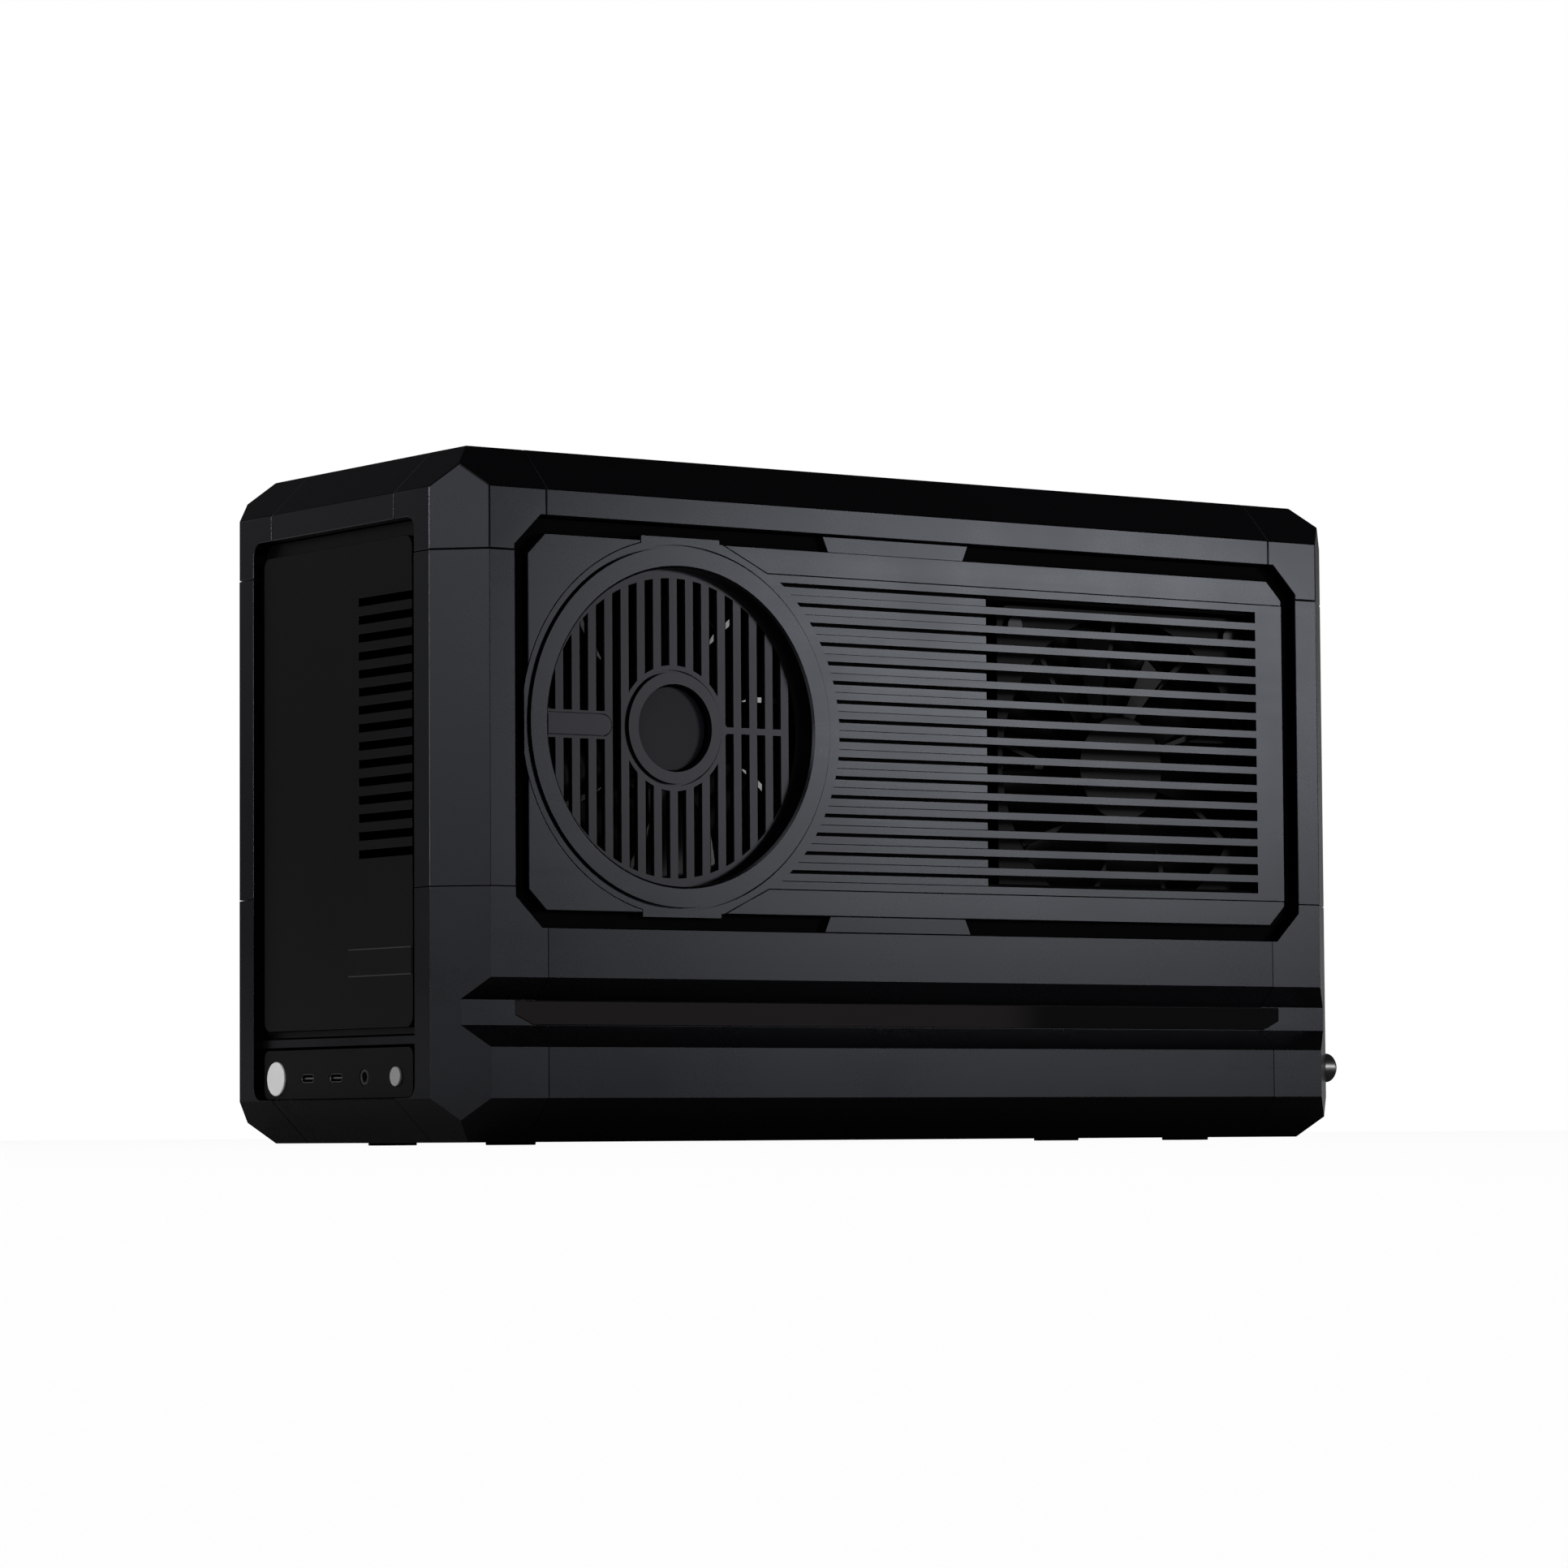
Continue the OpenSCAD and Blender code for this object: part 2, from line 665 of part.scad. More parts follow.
module audio_jack() {
    color(black) stand() {
        on_left(door_d + 0.2, board_d) translate([jack_u, io_z]) difference() {
            circle(3);
            circle(1.8);
        }
        on_left(board_d - 1.5, board_d) translate([jack_u, io_z]) circle(2.5);
    }
}

// Circuit board behind the buttons, with a switch for each
module button_board() {
    color([0.04, 0.12, 0.08]) stand() {
        on_left(board_d, board_d + 1.6) translate([0, io_z + 1.5]) square([end_w - 2 * ledge_w - 2, 13], center = true);
        on_left(board_d - 2, board_d) for (u = [power_u, reset_u])
            translate([u, io_z]) square([6, 6], center = true);
        on_left(board_d - 2.5, board_d) for (u = [power_u, reset_u])
            translate([u, io_z]) circle(1.6);
    }
}

// Square fan frame with a round duct, four struts and a motor seat
module fan_frame(x, z) {
    duct = fan_s / 2 - 2;
    color(black) stand() {
        difference() {
            on_front(fan_d, fan_d + fan_t) translate([x, z]) rounded(fan_s, fan_s, 6);
            on_front(fan_d - cut, fan_d + fan_t + cut) translate([x, z]) circle(duct, $fn = 96);
            for (sx = [-1, 1], sz = [-1, 1]) {
                on_front(fan_d - cut, fan_d + fan_t + cut)
                    translate([x + sx * fan_hole / 2, z + sz * fan_hole / 2]) circle(2.2);
                on_front(fan_d + 4, fan_d + fan_t - 4) translate([x, z]) difference() {
                    translate([sx * fan_s / 2, sz * fan_s / 2]) circle(15);
                    circle(duct + 2, $fn = 96);
                }
            }
        }
        on_front(fan_d + fan_t - 4, fan_d + fan_t) translate([x, z]) circle(19);
        on_front(fan_d + fan_t - 4, fan_d + fan_t) translate([x, z]) difference() {
            for (a = [20, 110, 200, 290]) rotate(a) translate([0, -2]) square([duct + 1, 4]);
            circle(18);
        }
        front_bar(x, z, 2, fan_d + 6.2, fan_d + fan_t - 3);
    }
}

// Cambered blade drawn along the radius and trimmed to its share of the circle
module blade(r_in, r_out, depth) {
    turn = 180 / blade_n - 1;
    intersection() {
        translate([r_in, 0, 0]) rotate([0, 90, 0]) linear_extrude(r_out - r_in) intersection() {
            translate([32.2, 18.2]) difference() {
                circle(39, $fn = 128);
                circle(37.2, $fn = 128);
            }
            square([depth, 44], center = true);
        }
        linear_extrude(depth, center = true) polygon(concat([[0, 0]],
            [for (k = [-2:2]) [r_out * cos(k * turn / 2), r_out * sin(k * turn / 2)]]));
    }
}

module fan_rotor(x, z) {
    hub = 20;
    depth = fan_t - 6;
    color(black) stand() translate([x, fan_d + 1 - case_w / 2, z]) rotate([-90, 0, 0]) {
        difference() {
            cylinder(h = depth, r = hub);
            translate([0, 0, 5]) cylinder(h = depth, r = 2 + run_gap);
            translate([0, 0, 8]) difference() {
                cylinder(h = depth, r = hub - 2);
                cylinder(h = depth, r = 5);
            }
        }
        for (i = [0:blade_n - 1]) rotate([0, 0, i * 360 / blade_n])
            translate([0, 0, depth / 2]) blade(hub - 1.5, fan_s / 2 - 3, depth - 0.4);
    }
}

module fan_frame_ring() fan_frame(ring_x, side_z);
module fan_rotor_ring() fan_rotor(ring_x, side_z);
module fan_frame_rear() fan_frame(fan_x, fan_z);
module fan_rotor_rear() fan_rotor(fan_x, fan_z);

module fan_hole_places() {
    for (p = [[ring_x, side_z], [fan_x, fan_z]], sx = [-1, 1], sz = [-1, 1])
        translate([p[0] + sx * fan_hole / 2, p[1] + sz * fan_hole / 2]) children();
}

rail_d = fan_d + fan_t;

module fan_screws() {
    color([0.75, 0.75, 0.76]) stand() {
        on_front(fan_d - 1.8, fan_d) fan_hole_places() circle(3.6);
        on_front(fan_d - 1, rail_d + 3) fan_hole_places() circle(2);
    }
}

// Folded steel plate that carries both fans, with round holes behind them
module fan_plate() {
    low = fan_z - fan_s / 2 - 1;
    high = max(case_h - head_h - 12.25, side_z + fan_s / 2 + 1);
    fold = 12;
    color(black) stand() difference() {
        on_front(rail_d - fold, rail_d + sheet)
            translate([-inner_x, low - sheet]) square([2 * inner_x, high - low + 2 * sheet]);
        on_front(rail_d - fold - cut, rail_d)
            translate([sheet - inner_x, low]) square([2 * (inner_x - sheet), high - low]);
        on_front(rail_d - cut, rail_d + sheet + cut) {
            fan_hole_places() circle(2.2);
            translate([ring_x, side_z]) circle(fan_s / 2 - 4);
            translate([fan_x, fan_z]) circle(fan_s / 2 - 4);
        }
    }
}

// Motherboard tray: an upright sheet between the base and the top panel, bent over at both edges
tray_l = -20;
tray_r = case_l / 2 - ledge_d;
tray_y = tray_in + ledge_w - end_w / 2;
port_h = 158.75;
port_w = 44.45;
board_z = end_high - ledge_w - port_in - port_h / 2;
hole_dx = 154.94;
hole_dz = 157.48;
hole_x = tray_r - 12 - hole_dx / 2;
floor_z = skin_t;
inlet_z = 36;
ceiling_z = case_h - face_d - skin_t;

// Holes of a 170 mm board, one of the rear pair set 22.86 mm further in
module board_holes() {
    for (p = [[0, -1], [0, 1], [1, -1], [1 - 22.86 / hole_dx, 1]])
        translate([hole_x + (p[0] - 0.5) * hole_dx, tray_y, board_z + p[1] * hole_dz / 2]) children();
}

module board_tray() {
    flange = 10;
    inner_l = side_w / 2 - moat - 4;
    notch = rim_d + 1;
    window_w = 70;
    window_h = 75;
    cable_w = 18;
    cable_h = 120;
    under_board = board_z - hole_dz / 2 - 6;
    end_notch = end_low + ledge_w + 1;
    color([0.2, 0.2, 0.21]) stand() difference() {
        union() {
            translate([tray_l, tray_y, floor_z]) cube([inner_l - tray_l, sheet, ceiling_z - floor_z]);
            translate([tray_l, tray_y, notch]) cube([tray_r - 12 - tray_l, sheet, case_h - 2 * notch]);
            translate([tray_l, tray_y, end_notch]) cube([tray_r - tray_l, sheet, end_high - ledge_w - 1 - end_notch]);
            translate([tray_l, tray_y, floor_z]) cube([inner_l - tray_l, flange, sheet]);
            translate([tray_l, tray_y, ceiling_z - sheet]) cube([inner_l - tray_l, flange, sheet]);
        }
        translate([tray_r - 18, tray_y - cut, floor_z - cut]) cube([20, 2 + 2 * cut, under_board - floor_z + cut]);
        translate([hole_x - window_w / 2, tray_y - cut, board_z - window_w / 2]) cube([window_w, 10, window_h]);
        translate([tray_l + 8, tray_y - cut, board_z - cable_h / 2]) cube([cable_w, 10, cable_h]);
        board_holes() translate([0, -cut, 0]) rotate([-90, 0, 0]) cylinder(h = 4, r = 1.75);
    }
}

module standoffs() {
    color([0.75, 0.6, 0.3]) stand() board_holes() rotate([90, 0, 0]) difference() {
        cylinder(h = standoff_h, r = 3, $fn = 6);
        translate([0, 0, -cut]) cylinder(h = standoff_h + 2 * cut, r = 1.25);
    }
}

// Plate that a small power supply screws to, standing on the base beside the tray
psu_z = 84;
psu_dy = 51.5;
psu_dz = 113;
plate_w = psu_dy + 22.5;
psu_y = end_w / 2 - moat - 3 - 1.7 - plate_w / 2;

module psu_bracket() {
    plate_h = psu_z + psu_dz / 2 + 9 - floor_z;
    window_w = psu_dy + 0.5;
    window_h = psu_dz - 13;
    color([0.2, 0.2, 0.21]) stand() difference() {
        union() {
            translate([tray_l - sheet, psu_y - plate_w / 2, floor_z]) cube([sheet, plate_w, plate_h]);
            translate([tray_l - 14, psu_y - plate_w / 2, floor_z]) cube([14, plate_w, sheet]);
        }
        translate([tray_l - 2, psu_y - window_w / 2, psu_z - window_h / 2]) cube([4, window_w, window_h]);
        for (sy = [-1, 1], sz = [-1, 1])
            translate([tray_l - 2, psu_y + sy * psu_dy / 2, psu_z + sz * psu_dz / 2])
                rotate([0, 90, 0]) cylinder(h = 4, r = 1.9);
    }
}

slot_pitch = 20.32;
slot_open = 14.4;
slot_h = 108;
cover_w = 18.4;
slot_n_rear = floor((end_w / 2 - ledge_w - tray_y - 2.2) / slot_pitch);
inlet_u = end_w / 2 - 30;

function slot_u(i) = tray_y + sheet + 1 + slot_pitch * (i + 0.5);

module rear_plate() {
    color(graphite) stand() difference() {
        on_right(flange_d, ledge_d) end_opening(-panel_gap);
        on_right(-cut, ledge_d + cut) {
            translate([tray_y - standoff_h + 2.24 - port_w, board_z - port_h / 2]) square([port_w, port_h]);
            for (i = [0:slot_n_rear - 1]) translate([slot_u(i), board_z]) square([slot_open, slot_h], center = true);
            translate([inlet_u, inlet_z]) square([27.4, 19.4], center = true);
            for (s = [-1, 1]) translate([inlet_u + s * 20, inlet_z]) circle(1.6);
        }
    }
}

module slot_covers() {
    color([0.55, 0.56, 0.57]) stand() for (i = [0:slot_n_rear - 1]) {
        on_right(ledge_d, ledge_d + 0.9) difference() {
            translate([slot_u(i), board_z + 2]) square([cover_w, slot_h + 11], center = true);
            for (k = [-4:4]) translate([slot_u(i), board_z + k * 10]) square([8, 3.6], center = true);
        }
        on_right(ledge_d, ledge_d + 9) translate([slot_u(i), board_z + slot_h / 2 + 7]) square([cover_w, 0.9], center = true);
    }
}

// Appliance inlet with three blades
module power_inlet() {
    color(black) stand() {
        difference() {
            union() {
                on_right(flange_d - 2, flange_d) translate([inlet_u, inlet_z]) rounded(48, 22, 3);
                on_right(flange_d - 2, flange_d + 18) translate([inlet_u, inlet_z]) square([27, 19], center = true);
            }
            on_right(0, flange_d + 14) translate([inlet_u, inlet_z])
                polygon([[-12, -8], [12, -8], [12, 3.5], [7.5, 8], [-7.5, 8], [-12, 3.5]]);
            on_right(0, flange_d + cut) for (s = [-1, 1]) translate([inlet_u + s * 20, inlet_z]) circle(1.7);
        }
        on_right(flange_d + 4, flange_d + 15) for (p = [[-7, -1.5], [0, 2.5], [7, -1.5]])
            translate([inlet_u + p[0], inlet_z + p[1]]) square([2, 4], center = true);
    }
}

// Thumbscrew with a domed head and a long shank into the sill's screw port
module thumbscrew() {
    rim_l = thumb_l - 3;
    dome_r = (9 + thumb_d * thumb_d / 4) / 6;
    shank = corner_len + thread_l;
    color([0.62, 0.62, 0.63]) stand() translate([case_l / 2, -thumb_y, thumb_z]) rotate([0, 90, 0]) {
        cylinder(h = rim_l, r = thumb_d / 2);
        intersection() {
            cylinder(h = thumb_l, r = thumb_d / 2);
            translate([0, 0, thumb_l - dome_r]) sphere(dome_r);
        }
        translate([0, 0, -shank]) cylinder(h = shank + 1, r = shank_r);
    }
}

module thumbscrew_front() thumbscrew();
module thumbscrew_back() mirror([0, 1, 0]) thumbscrew();

module corner_top_front_left() corner_top(-1, -1);
module corner_top_front_right() corner_top(1, -1);
module corner_top_back_left() corner_top(-1, 1);
module corner_top_back_right() corner_top(1, 1);
module corner_base_front_left() corner_base(-1, -1);
module corner_base_front_right() corner_base(1, -1);
module corner_base_back_left() corner_base(-1, 1);
module corner_base_back_right() corner_base(1, 1);

corner_top_front_left();
corner_top_front_right();
corner_top_back_left();
corner_top_back_right();
corner_base_front_left();
corner_base_front_right();
corner_base_back_left();
corner_base_back_right();
post(-1, -1);  // post_front_left
post(1, -1);  // post_front_right
post(-1, 1);  // post_back_left
post(1, 1);  // post_back_right
beam_top_long(-1);  // beam_top_front
beam_top_long(1);  // beam_top_back
beam_top_short(-1);  // beam_top_left
beam_top_short(1);  // beam_top_right
sill(-1);  // sill_front
sill(1);  // sill_back
beam_base_short(-1);  // beam_base_left
beam_base_short(1);  // beam_base_right
crossbar_left();
groove_strip_front();
groove_strip_back();
top_panel();
base_panel();
feet();
side_panel_front();
louvre_ring_plate();
round_grille();
side_panel_back();
end_door();
button_panel();
power_button();
reset_button();
usb_ports();
audio_jack();
button_board();
fan_frame_ring();
fan_rotor_ring();
fan_frame_rear();
fan_rotor_rear();
fan_screws();
fan_plate();
board_tray();
standoffs();
psu_bracket();
rear_plate();
slot_covers();
power_inlet();
thumbscrew_front();
thumbscrew_back();
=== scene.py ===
import json
import math
import bmesh
import bpy
from mathutils import Matrix, Vector


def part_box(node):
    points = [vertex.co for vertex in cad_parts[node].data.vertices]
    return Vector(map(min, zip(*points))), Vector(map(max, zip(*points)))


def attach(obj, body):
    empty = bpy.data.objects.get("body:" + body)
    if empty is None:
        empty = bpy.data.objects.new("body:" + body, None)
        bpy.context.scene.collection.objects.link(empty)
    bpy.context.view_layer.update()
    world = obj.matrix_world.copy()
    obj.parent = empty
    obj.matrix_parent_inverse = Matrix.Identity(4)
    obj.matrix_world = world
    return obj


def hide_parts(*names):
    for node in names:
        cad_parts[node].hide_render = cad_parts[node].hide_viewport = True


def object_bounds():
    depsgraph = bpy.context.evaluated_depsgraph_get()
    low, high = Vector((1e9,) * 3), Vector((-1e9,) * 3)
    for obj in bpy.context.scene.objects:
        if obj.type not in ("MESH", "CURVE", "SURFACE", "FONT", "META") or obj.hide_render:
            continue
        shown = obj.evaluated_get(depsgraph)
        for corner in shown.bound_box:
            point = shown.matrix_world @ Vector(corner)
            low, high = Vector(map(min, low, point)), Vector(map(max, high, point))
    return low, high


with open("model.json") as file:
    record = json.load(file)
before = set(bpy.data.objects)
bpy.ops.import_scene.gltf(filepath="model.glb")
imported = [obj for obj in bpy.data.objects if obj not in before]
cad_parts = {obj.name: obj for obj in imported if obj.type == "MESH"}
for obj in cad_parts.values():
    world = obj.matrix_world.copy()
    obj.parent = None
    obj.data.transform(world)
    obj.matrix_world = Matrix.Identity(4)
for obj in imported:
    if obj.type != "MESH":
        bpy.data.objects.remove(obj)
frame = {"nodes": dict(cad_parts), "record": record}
cad_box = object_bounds()
front_y, back_y = cad_box[0][1], cad_box[1][1]
scene = bpy.context.scene
scene.view_settings.view_transform = "Standard"

# The photo is taken with a long lens from just above the table, from the corner between the end
# with the buttons and the long face with the round grille.
turn, tilt, roll = math.radians(35.112), math.radians(3.583), math.radians(-0.374)
camera_place = (-1.23926, -1.74722, 0.00319)
camera = bpy.data.objects.new("camera", bpy.data.cameras.new("camera"))
scene.collection.objects.link(camera)
camera.data.sensor_width = 36.0
camera.data.lens = 128.46
camera.data.clip_start = 0.002
camera.data.clip_end = 50.0
ahead = Vector((math.sin(turn) * math.cos(tilt), math.cos(turn) * math.cos(tilt), math.sin(tilt)))
level = Vector((math.cos(turn), -math.sin(turn), 0.0))
up = level.cross(ahead)
right = math.cos(roll) * level + math.sin(roll) * up
up = right.cross(ahead)
camera_axes = Matrix((right, up, -ahead)).transposed().to_4x4()
camera.matrix_world = Matrix.Translation(camera_place) @ camera_axes
scene.camera = camera


# Castings, posts and beams of the frame: dark anodised aluminium with a fine satin grain, their
# sharp edges broken by tumbling before the anodising. Each part keeps the outline that it was cast
# or cut to, and gets only the small radius that the tumbling leaves.
body_of_node = {n: b for b, members in frame["record"]["behaviour"]["bodies"].items() for n in members}
cast_edge, sheet_edge, fine_edge, port_edge, moulded_edge = 0.0004, 0.0003, 0.0002, 0.0001, 0.0005
weld_reach, flat_angle = 0.000002, math.radians(0.6)


def edged(node, material, width=cast_edge, segments=2, angle=30, shade_paint=None, is_shaded=None, carve=None):
    """Stands a bevelled copy of a node's mesh in for it. The faces that the test picks get the second
    material, which paints shade on them.
    """
    mesh = frame["nodes"][node].data.copy()
    mesh.materials.clear()
    mesh.materials.append(material)
    if shade_paint:
        mesh.materials.append(shade_paint)
    bm = bmesh.new()
    bm.from_mesh(mesh)
    bmesh.ops.remove_doubles(bm, verts=bm.verts, dist=weld_reach)
    bmesh.ops.dissolve_limit(bm, angle_limit=flat_angle, verts=bm.verts, edges=bm.edges)
    for face in bm.faces:
        face.smooth = True
        face.material_index = 1 if is_shaded and is_shaded(face.calc_center_median(), face.normal) else 0
    if carve:
        carve(bm)
    bm.to_mesh(mesh)
    bm.free()
    return finished(node + "_finished", mesh, node, width, segments, angle)


def finished(name, mesh, node, width, segments=2, angle=30, replaced=True):
    """Makes a piece of a mesh, with broken edges, on the body of a node, and hides the node if the piece
    stands in for it.
    """
    mesh.set_sharp_from_angle(angle=math.radians(angle))
    piece = bpy.data.objects.new(name, mesh)
    scene.collection.objects.link(piece)
    if width:
        bevel = piece.modifiers.new("edges", "BEVEL")
        bevel.width = width
        bevel.segments = segments
        bevel.limit_method = "ANGLE"
        bevel.angle_limit = math.radians(angle)
        weighted = piece.modifiers.new("flat_faces", "WEIGHTED_NORMAL")
        weighted.weight = 100
        weighted.keep_sharp = True
    if replaced:
        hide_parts(node)
    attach(piece, body_of_node[node])
    return piece


def made_mesh(name, bm, *materials, smooth=False):
    mesh = bpy.data.meshes.new(name)
    if smooth:
        for face in bm.faces:
            face.smooth = True
    bm.to_mesh(mesh)
    bm.free()
    for material in materials:
        mesh.materials.append(material)
    return mesh


def add_block(bm, middle, size):
    bmesh.ops.create_cube(bm, size=1.0, matrix=Matrix.Translation(middle) @ Matrix.Diagonal((*size, 1.0)))


def add_node(tree, kind, inputs, **settings):
    """Adds a shader node. An input that is given as a socket is linked, any other is set."""
    node = tree.nodes.new(kind)
    for key, value in settings.items():
        setattr(node, key, value)
    for key, value in inputs.items():
        if isinstance(value, bpy.types.NodeSocket):
            tree.links.new(value, node.inputs[key])
        else:
            node.inputs[key].default_value = value
    return node


def math_node(tree, operation, *values):
    return add_node(tree, "ShaderNodeMath", dict(enumerate(values)), operation=operation).outputs[0]


def soft_step(tree, value, start, finish):
    limits = {"Value": value, "From Min": start, "From Max": finish}
    return add_node(tree, "ShaderNodeMapRange", limits, interpolation_type="SMOOTHSTEP").outputs["Result"]


def mirror_rays(tree, path):
    return math_node(tree, "MAXIMUM", path.outputs["Is Glossy Ray"], path.outputs["Is Transmission Ray"])


def grain_group():
    """Streaks of the brushing, grain of the anodising and broad clouds, for colour, roughness and relief."""
    group = bpy.data.node_groups.new("anodised_grain", "ShaderNodeTree")
    entries = (("Color", "NodeSocketColor", (0.1, 0.1, 0.1, 1)), ("Roughness", "NodeSocketFloat", 0.4),
               ("Streaks", "NodeSocketFloat", 0.3), ("Grain", "NodeSocketFloat", 0.3))
    for name, kind, value in entries:
        socket = group.interface.new_socket(name=name, in_out="INPUT", socket_type=kind)
        socket.default_value = value
    results = (("Color", "NodeSocketColor"), ("Roughness", "NodeSocketFloat"), ("Height", "NodeSocketFloat"))
    for name, kind in results:
        group.interface.new_socket(name=name, in_out="OUTPUT", socket_type=kind)
    entry, leave = group.nodes.new("NodeGroupInput"), group.nodes.new("NodeGroupOutput")
    coord = group.nodes.new("ShaderNodeTexCoord").outputs["Object"]
    stretched = add_node(group, "ShaderNodeMapping", {"Vector": coord, "Scale": (3.0, 260.0, 260.0)})

    def noise(vector, scale, detail):
        inputs = {"Vector": vector, "Scale": scale, "Detail": detail}
        cloud = add_node(group, "ShaderNodeTexNoise", inputs).outputs["Fac"]
        return math_node(group, "SUBTRACT", cloud, 0.5)

    streak = noise(stretched.outputs["Vector"], 1.0, 4.0)
    grain = noise(coord, 2600.0, 2.0)
    cloud = noise(coord, 22.0, 3.0)
    height_of_color, cloud_of_color, height_of_roughness, cloud_of_roughness = 0.9, 0.22, 0.25, 0.10
    height = math_node(group, "ADD", math_node(group, "MULTIPLY", streak, entry.outputs["Streaks"]),
                       math_node(group, "MULTIPLY", grain, entry.outputs["Grain"]))
    shade = math_node(group, "ADD", math_node(group, "MULTIPLY", height, height_of_color),
                      math_node(group, "MULTIPLY", cloud, cloud_of_color))
    gain = math_node(group, "ADD", shade, 1.0)
    tint = {0: entry.outputs["Color"], "Scale": gain}
    scaled = add_node(group, "ShaderNodeVectorMath", tint, operation="SCALE")
    rough = math_node(group, "ADD", entry.outputs["Roughness"],
                      math_node(group, "MULTIPLY", height, height_of_roughness))
    rough = math_node(group, "ADD", rough, math_node(group, "MULTIPLY", cloud, cloud_of_roughness))
    group.links.new(scaled.outputs[0], leave.inputs["Color"])
    group.links.new(rough, leave.inputs["Roughness"])
    group.links.new(height, leave.inputs["Height"])
    return group


anodised_grain = grain_group()


def anodised(name, color, roughness, streaks, grain, metallic=1.0, bump=0.04, specular=0.5):
    material = bpy.data.materials.new(name)
    material.use_nodes = True
    tree = material.node_tree
    shader = tree.nodes["Principled BSDF"]
    shader.inputs["Metallic"].default_value = metallic
    shader.inputs["Specular IOR Level"].default_value = specular
    group = tree.nodes.new("ShaderNodeGroup")
    group.node_tree = anodised_grain
    values = {"Color": (*color, 1.0), "Roughness": roughness, "Streaks": streaks, "Grain": grain}
    for key, value in values.items():
        group.inputs[key].default_value = value
    relief = add_node(tree, "ShaderNodeBump", {"Strength": bump, "Distance": 0.0005,
                                               "Height": group.outputs["Height"]})
    tree.links.new(group.outputs["Color"], shader.inputs["Base Color"])
    tree.links.new(group.outputs["Roughness"], shader.inputs["Roughness"])
    tree.links.new(relief.outputs["Normal"], shader.inputs["Normal"])
    return material


frame_metal = anodised("frame_anodised", (0.0285, 0.0300, 0.0335), 0.28, 0.10, 0.16)
for level_name in ("top", "base"):
    for face_name in ("front", "back"):
        for end_name in ("left", "right"):
            edged(f"corner_{level_name}_{face_name}_{end_name}", frame_metal)
for node in ("post_front_left", "post_front_right", "post_back_left", "post_back_right", "beam_top_front",
             "beam_top_back", "beam_top_left", "beam_top_right", "beam_base_left", "beam_base_right"):
    edged(node, frame_metal)

# Sills: long extrusions with the groove along them, of the same anodised aluminium, which came out
# a little darker than the castings.
sill_metal = anodised("sill_anodised", (0.0260, 0.0274, 0.0306), 0.28, 0.10, 0.16)
for node in ("sill_front", "sill_back"):
    edged(node, sill_metal)

# Thin bar across the end opening, between the door and the button panel: the same aluminium,
# fixed between the posts.
edged("crossbar_left", frame_metal, sheet_edge)

# Strips in the bottom of the grooves: gloss black moulding, smooth enough to mirror the table,
# pressed into the sill.
strip_gloss = anodised("strip_gloss", (0.0015, 0.0014, 0.0015), 0.03, 0.05, 0.02, metallic=0.0, bump=0.002)
for node in ("groove_strip_front", "groove_strip_back"):
    edged(node, strip_gloss, fine_edge)

# Top and base panels: brushed anodised sheets with rows of vents, held on the ledges of the frame
# from inside.
panel_metal = anodised("panel_brushed", (0.0300, 0.0316, 0.0352), 0.28, 0.20, 0.12)
edged("top_panel", panel_metal, sheet_edge)
edged("base_panel", panel_metal, sheet_edge)

# Feet: black rubber pads glued into the base panel.
rubber = anodised("foot_rubber", (0.018, 0.018, 0.018), 0.8, 0.0, 0.5, metallic=0.0, bump=0.2)
edged("feet", rubber, sheet_edge)

# Front side panel: milled aluminium tray, brushed along its length, with the two finger tabs. The
# bottom of the channel round its raised face is painted shade: matt black, as it lies in shadow.
# Painted shade: a matt black for faces that lie in shadow.
painted_shade_black = anodised("painted_shade_black", (0.0035, 0.0035, 0.004), 0.7, 0.0, 0.5, metallic=0.0, bump=0.15,
                         specular=0.05)
channel_depth = 0.0031
edged("side_panel_front", panel_metal, sheet_edge, shade_paint=painted_shade_black,
      is_shaded=lambda at, normal: at.y > front_y + channel_depth)


# Plate with the raised ring and the louvres, pressed into the front side panel. Left of the window
# each louvre is a shallow recess: along its upper side a slit goes deeper, painted black as the
# shadow of the bar above, and a thin line along its lower side is painted shade as well.
def carve_louvres(bm):
    slit_h, slit_d, line_h, least_l, least_d, most_d = 0.00125, 0.0008, 0.0004, 0.03, 0.0026, 0.0038
    floors = [f for f in bm.faces
              if f.normal.y < -0.99 and least_d < f.calc_center_median().y - front_y < most_d
              and max(v.co.x for v in f.verts) - min(v.co.x for v in f.verts) > least_l]
    for floor_face in floors:
        heights = [v.co.z for v in floor_face.verts]
        low, high = min(heights) + line_h, max(heights) - slit_h
        pieces = [floor_face]
        for z in (low, high):
            around = set(pieces) | {e for f in pieces for e in f.edges} | {v for f in pieces for v in f.verts}
            made = bmesh.ops.bisect_plane(bm, geom=list(around), dist=1e-7, plane_co=(0, 0, z),
                                          plane_no=(0, 0, 1))
            pieces = [g for g in made["geom"] if isinstance(g, bmesh.types.BMFace)]
        for part in pieces:
            middle = part.calc_center_median().z
            # Faces above and below the lit middle of the recess get the painted shade.
            part.material_index = 0 if low < middle < high else 1
            if middle > high:
                deeper = bmesh.ops.extrude_discrete_faces(bm, faces=[part])["faces"]
                bmesh.ops.translate(bm, verts=list({v for f in deeper for v in f.verts}), vec=(0, slit_d, 0))
                # The walls of the slit are painted shade too.
                for side in {g for f in deeper for e in f.edges for g in e.link_faces}:
                    side.material_index = 1
                    side.smooth = True


edged("louvre_ring_plate", panel_metal, sheet_edge, shade_paint=painted_shade_black, carve=carve_louvres)

